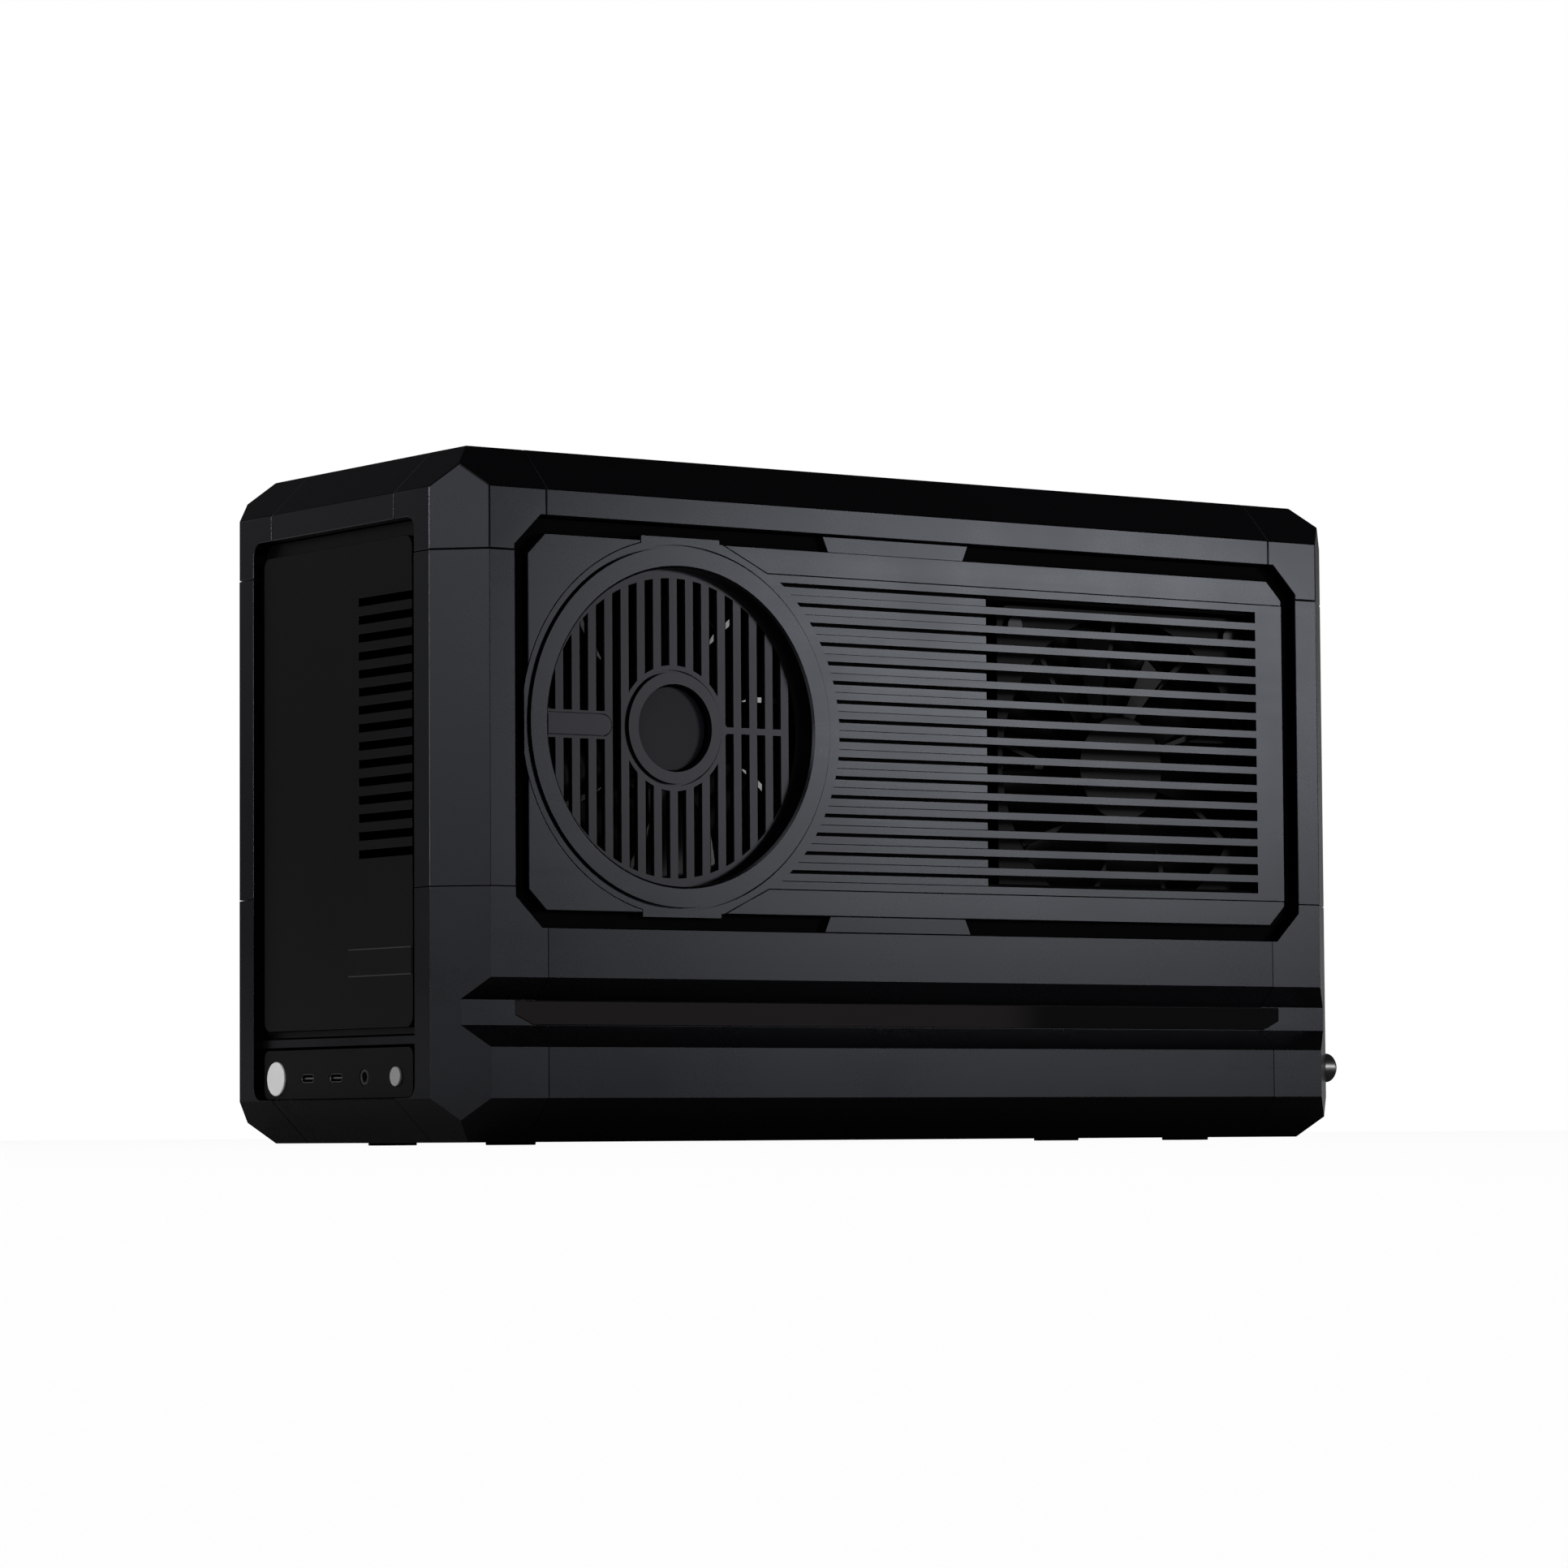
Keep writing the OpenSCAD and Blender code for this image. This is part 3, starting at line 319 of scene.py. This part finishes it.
# Round grille behind the ring: a black anodised plate cut into upright slots, with a raised ring
# round the open hub, a bare raised plate on the left and a thin bar on the right. A collar on its
# rim seats against the back of the louvre plate.
black_metal = anodised("black_anodised", (0.027, 0.0275, 0.0305), 0.33, 0.08, 0.22)
grille_low, grille_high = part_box("round_grille")
hub_x, hub_z = (grille_low[0] + grille_high[0]) / 2, (grille_low[2] + grille_high[2]) / 2
plate_r = (grille_high[0] - grille_low[0]) / 2
collar_r = plate_r - 0.0029
slot_r, hub_hole_r, hub_ring_r, hub_groove_r, hub_rim_r = 0.0543, 0.0159, 0.0202, 0.0210, 0.0228
slot_pitch, slot_w, slots_each_side = 0.0070, 0.0036, 8
name_slots, bar_slots = range(-8, -4), range(3, 7)
slot_end_least, slot_base_least, joined_gap = 0.001, 0.002, 0.0005
bar_h, name_gap_h, name_h, name_end, name_groove = 0.0024, 0.0101, 0.0074, 0.0270, 0.0004
plate_back, plate_front = front_y + 0.0050, front_y + 0.00625
groove_d, plate_t, hub_ring_proud, name_proud = 0.0008, 0.0024, 0.0012, 0.0003
round_sides, hub_sides, tip_sides, slot_end_steps = 128, 96, 24, 6


def circle(radius, count, x=0.0, start=0.0, sweep=2 * math.pi):
    return [(x + radius * math.cos(start + sweep * i / count), radius * math.sin(start + sweep * i / count))
            for i in range(count)]


def slot_outlines():
    """Slots of the grille, cut in two by the hub, by the bar on the right and by the plate on the left."""
    outlines = []
    for i in range(-slots_each_side, slots_each_side):
        x0, x1 = (i + 0.5) * slot_pitch - slot_w / 2, (i + 0.5) * slot_pitch + slot_w / 2
        base = name_gap_h / 2 if i in name_slots else bar_h / 2 if i in bar_slots else 0.0
        reach = math.sqrt(slot_r ** 2 - max(base + slot_end_least, slot_base_least) ** 2)
        x0, x1 = max(x0, -reach), min(x1, reach)
        xs = [x0 + (x1 - x0) * k / slot_end_steps for k in range(slot_end_steps + 1)]
        top = [(x, math.sqrt(slot_r ** 2 - x * x)) for x in xs]
        foot = [(x, max(base, math.sqrt(max(hub_rim_r ** 2 - x * x, 0.0)))) for x in reversed(xs)]
        if min(z for x, z in foot) > joined_gap:
            outlines += [top + foot, [(x, -z) for x, z in top + foot]]
        else:
            outlines.append(top + [(x, -z) for x, z in reversed(top)])
    return outlines


def name_outline(grow):
    tip_x, half, left = -(name_end + name_h / 2), name_h / 2 + grow, -slot_r + name_groove - grow
    tip = circle(half, tip_sides, tip_x, -math.pi / 2, math.pi)
    return [(left, -half), *tip, (tip_x, half), (left, half)]


def plate(bm, outline, holes, y0, y1):
    """Adds a plate between two depths, round the hub's axis, with holes through it."""
    edges = []
    for points in [outline, *holes]:
        verts = [bm.verts.new((hub_x + x, y0, hub_z + z)) for x, z in points]
        edges += [bm.edges.new((verts[i - 1], verts[i])) for i in range(len(verts))]
    filled = bmesh.ops.triangle_fill(bm, use_beauty=True, edges=edges, normal=(0.0, -1.0, 0.0))
    front = [g for g in filled["geom"] if isinstance(g, bmesh.types.BMFace)]
    drawn = bmesh.ops.extrude_face_region(bm, geom=front)["geom"]
    moved = [g for g in drawn if isinstance(g, bmesh.types.BMVert)]
    bmesh.ops.translate(bm, verts=moved, vec=(0.0, y1 - y0, 0.0))


bm = bmesh.new()
rim, hub_hole = circle(plate_r, round_sides), circle(hub_hole_r, hub_sides)
groove_back = plate_front + groove_d
plate(bm, rim, [circle(hub_groove_r, hub_sides), name_outline(name_groove), *slot_outlines()], plate_front,
      groove_back)
plate(bm, rim, [hub_hole, *slot_outlines()], groove_back, plate_front + plate_t)
plate(bm, circle(hub_ring_r, hub_sides), [hub_hole], plate_front - hub_ring_proud, groove_back)
plate(bm, rim, [circle(collar_r, round_sides)], plate_back, plate_front)
plate(bm, name_outline(0.0), [], plate_front - name_proud, groove_back)
bmesh.ops.recalc_face_normals(bm, faces=bm.faces)
grille_mesh = made_mesh("round_grille_plate", bm, black_metal, smooth=True)
finished("round_grille_finished", grille_mesh, "round_grille", fine_edge)

# Cap on the hub of the fan behind the grille: a moulded disc clipped to the rotor, its face covered
# by a bare dark blue film.
cap_film = anodised("cap_film", (0.018, 0.018, 0.027), 0.44, 0.0, 0.25, metallic=0.0, bump=0.01,
                    specular=0.20)
cap_front, cap_r, hub_reach = front_y + 0.0088, 0.0154, 0.019
hub_front = min(v.co.y for v in frame["nodes"]["fan_rotor_ring"].data.vertices
                if math.hypot(v.co.x - hub_x, v.co.z - hub_z) < hub_reach)
bm = bmesh.new()
bmesh.ops.create_cone(bm, cap_ends=True, segments=hub_sides, radius1=cap_r, radius2=cap_r,
                      depth=hub_front - cap_front)
cap_middle = Matrix.Translation((hub_x, (hub_front + cap_front) / 2, hub_z))
bmesh.ops.transform(bm, matrix=cap_middle @ Matrix.Rotation(math.pi / 2, 4, "X"), verts=bm.verts)
cap_mesh = made_mesh("hub_cap", bm, cap_film, smooth=True)
finished("hub_cap", cap_mesh, "fan_rotor_ring", cast_edge, replaced=False)

# Rear side panel: the same tray with louvres cut through it, and a black dust filter of fine cloth
# held by magnets over the louvres from inside. The filter's black also stands in for the shade inside
# the case seen through the louvres, and the bottom of the tray's channel is painted shade as on the front.
edged("side_panel_back", panel_metal, sheet_edge, shade_paint=painted_shade_black,
      is_shaded=lambda at, normal: at.y < back_y - channel_depth)
shade_and_filter_black = anodised("filter_cloth_and_shade", (0.004, 0.004, 0.0045), 0.8, 0.0, 0.9, metallic=0.0, bump=0.4,
                        specular=0.1)
filter_size, filter_depth = (0.300, 0.0004, 0.118), 0.0040
tray_low, tray_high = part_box("side_panel_back")
filter_x, filter_z = (tray_low[0] + tray_high[0]) / 2, (tray_low[2] + tray_high[2]) / 2
bm = bmesh.new()
add_block(bm, (filter_x, back_y - filter_depth, filter_z), filter_size)
dust_filter = bpy.data.objects.new("dust_filter", made_mesh("dust_filter", bm, shade_and_filter_black))
scene.collection.objects.link(dust_filter)
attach(dust_filter, body_of_node["side_panel_back"])

# Door in the end with the slots: black anodised sheet, held by its flange. Below the slots it has a
# bare glossy plate between two thin grey lines.
door_black = anodised("door_anodised", (0.010, 0.0103, 0.0113), 0.36, 0.08, 0.22)
plate_black = anodised("door_plate_black", (0.030, 0.030, 0.032), 0.25, 0.10, 0.10)
line_grey = anodised("line_grey", (0.10, 0.10, 0.105), 0.35, 0.0, 0.1)
edged("end_door", door_black, sheet_edge)
door_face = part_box("end_door")[0][0]
bare_y, bare_z, bare_l, bare_h, bare_proud = -0.0302, 0.0656, 0.0434, 0.0092, 0.00015
line_z, line_h, line_proud, sunk = 0.0048, 0.0004, 0.0003, 0.0001
bm = bmesh.new()
for middle_z, height, proud in ((bare_z, bare_h, bare_proud), (bare_z - line_z, line_h, line_proud),
                                (bare_z + line_z, line_h, line_proud)):
    middle = (door_face - proud / 2 + sunk / 2, bare_y, middle_z)
    add_block(bm, middle, (proud + sunk, bare_l, height))
for face in bm.faces:
    face.material_index = 1 if abs(face.calc_center_median().z - bare_z) > line_z - sunk else 0
finished("door_plate", made_mesh("door_plate", bm, plate_black, line_grey), "end_door", 0.0, replaced=False)

# Button panel with its two moulded buttons, ports and audio socket, and the circuit board behind it
# that carries the switches.
edged("button_panel", door_black, sheet_edge)
white_cap = anodised("button_white", (0.95, 0.95, 0.95), 0.35, 0.0, 0.1, metallic=0.0, bump=0.02)
edged("power_button", white_cap, cast_edge, segments=3)
grey_cap = anodised("button_grey", (0.33, 0.33, 0.335), 0.35, 0.0, 0.1, metallic=0.0, bump=0.02)
edged("reset_button", grey_cap, sheet_edge, segments=3)
port_steel = anodised("port_steel", (0.20, 0.20, 0.205), 0.35, 0.1, 0.1)
edged("usb_ports", port_steel, port_edge)
black_moulding = anodised("black_moulding", (0.014, 0.0145, 0.016), 0.45, 0.0, 0.4, metallic=0.0, bump=0.1)
edged("audio_jack", black_moulding, fine_edge)
board_green = anodised("board_green", (0.008, 0.04, 0.024), 0.35, 0.0, 0.3, metallic=0.0)
edged("button_board", board_green, 0.0)

# Fans: moulded black frames, a glossy rotor behind the round grille and a satin one behind the
# louvres, each frame held to the fan plate by four black screws.
fan_black = anodised("fan_black", (0.004, 0.004, 0.0045), 0.5, 0.0, 0.4, metallic=0.0, bump=0.1,
                     specular=0.15)
for node in ("fan_frame_ring", "fan_frame_rear"):
    edged(node, fan_black, moulded_edge)
rotor_gloss = anodised("rotor_gloss", (0.010, 0.010, 0.013), 0.12, 0.0, 0.1, metallic=0.0, bump=0.02)
edged("fan_rotor_ring", rotor_gloss, sheet_edge)
rotor_satin = anodised("rotor_satin", (0.006, 0.006, 0.0065), 0.45, 0.0, 0.3, metallic=0.0, bump=0.05,
                       specular=0.15)
edged("fan_rotor_rear", rotor_satin, sheet_edge)
screw_zinc = anodised("screw_black_zinc", (0.03, 0.03, 0.032), 0.38, 0.1, 0.1)
edged("fan_screws", screw_zinc, sheet_edge)

# Fan plate, tray and bracket inside: folded steel sheet, powder coated black. The tray carries
# brass standoffs for the board.
coated = anodised("coated_steel", (0.03, 0.03, 0.032), 0.6, 0.0, 0.7, metallic=0.0, bump=0.25)
for node in ("fan_plate", "board_tray", "psu_bracket"):
    edged(node, coated, fine_edge)
brass = anodised("standoff_brass", (0.75, 0.55, 0.25), 0.3, 0.0, 0.15)
edged("standoffs", brass, fine_edge)

# Rear plate with the port window, the screwed slot covers of plain steel and the moulded power
# inlet.
edged("rear_plate", panel_metal, sheet_edge)
edged("slot_covers", port_steel, fine_edge)
edged("power_inlet", black_moulding, fine_edge)

# Thumbscrews low at the rear end: turned steel with a domed head, screwed in by hand.
dark_steel = anodised("dark_steel", (0.24, 0.24, 0.245), 0.32, 0.1, 0.1)
for node in ("thumbscrew_front", "thumbscrew_back"):
    edged(node, dark_steel)

# Floor: a plain pale table. The camera sees it white; the metal mirrors it only between two
# distances from the case, as a lit table is dark under the case and far away from it.
floor_half, camera_white, camera_share, mirror_share = 12.0, 1.2, 0.8, 0.5
mirror_near, mirror_far = (0.30, 0.60), (1.9, 0.9)
bm = bmesh.new()
bmesh.ops.create_grid(bm, x_segments=1, y_segments=1, size=floor_half)
floor_paint = bpy.data.materials.new("floor_paint")
floor_paint.use_nodes = True
floor_tree = floor_paint.node_tree
floor_shader = floor_tree.nodes["Principled BSDF"]
floor_shader.inputs["Base Color"].default_value = (0.3, 0.3, 0.3, 1)
floor_shader.inputs["Roughness"].default_value = 0.9
floor_shader.inputs["Specular IOR Level"].default_value = 0.0
pale = {"Color": (1.0, 1.0, 1.0, 1), "Strength": camera_white}
floor_pale = add_node(floor_tree, "ShaderNodeEmission", pale)
floor_path = floor_tree.nodes.new("ShaderNodeLightPath")
floor_part = math_node(floor_tree, "MULTIPLY", floor_path.outputs["Is Camera Ray"], camera_share)
floor_at = floor_tree.nodes.new("ShaderNodeTexCoord").outputs["Object"]
floor_reach = add_node(floor_tree, "ShaderNodeVectorMath", {0: floor_at}, operation="LENGTH").outputs["Value"]
floor_weight = mirror_rays(floor_tree, floor_path)
for start, finish in (mirror_near, mirror_far):
    zone = soft_step(floor_tree, floor_reach, start, finish)
    floor_weight = math_node(floor_tree, "MULTIPLY", floor_weight, zone)
floor_sum = math_node(floor_tree, "MULTIPLY_ADD", floor_weight, mirror_share, floor_part)
floor_mix = add_node(floor_tree, "ShaderNodeMixShader",
                     {0: floor_sum, 1: floor_shader.outputs[0], 2: floor_pale.outputs[0]})
floor_tree.links.new(floor_mix.outputs[0], floor_tree.nodes["Material Output"].inputs["Surface"])
floor = bpy.data.objects.new("floor", made_mesh("floor", bm, floor_paint))
scene.collection.objects.link(floor)

# Backdrop: a pale wall behind the case, which is in the world so that the metal mirrors it where it
# is. The room behind the camera is dim, and a little lighter near the table.
world = bpy.data.worlds.new("studio")
scene.world = world
world.use_nodes = True
room = world.node_tree
room.nodes.clear()
world_at = room.nodes.new("ShaderNodeTexCoord").outputs["Generated"]
axes = add_node(room, "ShaderNodeSeparateXYZ", {0: world_at})
rise = add_node(room, "ShaderNodeValToRGB", {0: axes.outputs["Z"]})
for element, position, color in ((rise.color_ramp.elements[0], 0.0, (0.08, 0.08, 0.083, 1)),
                                 (rise.color_ramp.elements[1], 0.6, (0.03, 0.03, 0.033, 1))):
    element.position = position
    element.color = color


# Masks of the world: each is 1 where a direction's component along an axis passes from one limit
# to the other, with a soft step between them.
def direction_mask(axis, start, finish):
    along = add_node(room, "ShaderNodeVectorMath", {0: world_at, 1: axis}, operation="DOT_PRODUCT")
    return soft_step(room, along.outputs["Value"], start, finish)


def height_mask(start, finish):
    return direction_mask((0.0, 0.0, 1.0), start, finish)


def tinted(mask, below, color):
    inputs = {"Factor": mask, "A": below, "B": color}
    return add_node(room, "ShaderNodeMix", inputs, data_type="RGBA").outputs["Result"]


# The strips in the grooves mirror a dim warm cloth in front of the table, which ends to the right.
# The end with the buttons mirrors the bright side of the room, behind the case to the left.
cloth_end = math.radians(37.55)
cloth_side = direction_mask((math.cos(cloth_end), math.sin(cloth_end), 0.0), 0.003, -0.003)
cloth_front = direction_mask((0.0, -1.0, 0.0), 0.2, 0.3)
cloth_band = math_node(room, "MULTIPLY", height_mask(0.055, 0.040), cloth_front)
cloth = math_node(room, "MULTIPLY", cloth_side, cloth_band)
bright_band = math_node(room, "MULTIPLY", height_mask(0.03, 0.17), height_mask(0.45, 0.25))
bright = math_node(room, "MULTIPLY", direction_mask((-0.53, 0.848, 0.0), 0.80, 0.95), bright_band)
warm = tinted(cloth, rise.outputs[0], (0.27, 0.235, 0.245, 1))
room_light = add_node(room, "ShaderNodeBackground", {"Color": tinted(bright, warm, (0.36, 0.36, 0.37, 1))})

# The camera sees white everywhere. Metal and glass see it only where the wall is.
wall = add_node(room, "ShaderNodeBackground", {"Color": (1.0, 1.0, 1.0, 1)})
wall_shape = math_node(room, "MULTIPLY", direction_mask((math.sin(turn), math.cos(turn), 0.0), 0.955, 0.985),
                       height_mask(0.30, 0.12))
room_path = room.nodes.new("ShaderNodeLightPath")
wall_mirrored = math_node(room, "MULTIPLY", mirror_rays(room, room_path), wall_shape)
wall_share = math_node(room, "MAXIMUM", wall_mirrored, room_path.outputs["Is Camera Ray"])
room_mix = add_node(room, "ShaderNodeMixShader",
                    {0: wall_share, 1: room_light.outputs[0], 2: wall.outputs[0]})
add_node(room, "ShaderNodeOutputWorld", {0: room_mix.outputs[0]})


# Softboxes: one to the right of the camera that the long face mirrors, one to the left for the
# corner chamfer, a large one high at the front left that lights the floor, and a narrow one far to
# the left for the edges of the end.
def softbox(name, side, rise, distance, width, height, radiance):
    aim = Vector((0.0, -0.083, 0.12))
    side, rise = math.radians(side), math.radians(rise)
    toward = Vector((math.sin(side) * math.cos(rise), -math.cos(side) * math.cos(rise), math.sin(rise)))
    lamp = bpy.data.objects.new(name, bpy.data.lights.new(name, "AREA"))
    lamp.data.shape = "RECTANGLE"
    lamp.data.size = width
    lamp.data.size_y = height
    lamp.data.energy = radiance * math.pi * width * height
    scene.collection.objects.link(lamp)
    lamp.location = aim + distance * toward
    lamp.rotation_euler = (-toward).to_track_quat("-Z", "Y").to_euler()
    lamp.visible_camera = False


softbox("key_right", 39.4, 7.1, 2.2, 0.48, 0.30, 12.8)
softbox("fill_left", -52.9, 10.4, 2.2, 1.2, 0.49, 2.3)
softbox("high_left", -45.0, 60.0, 2.6, 1.6, 1.6, 0.8)
softbox("edge_left", -100.0, 8.0, 2.2, 0.14, 0.80, 50.0)
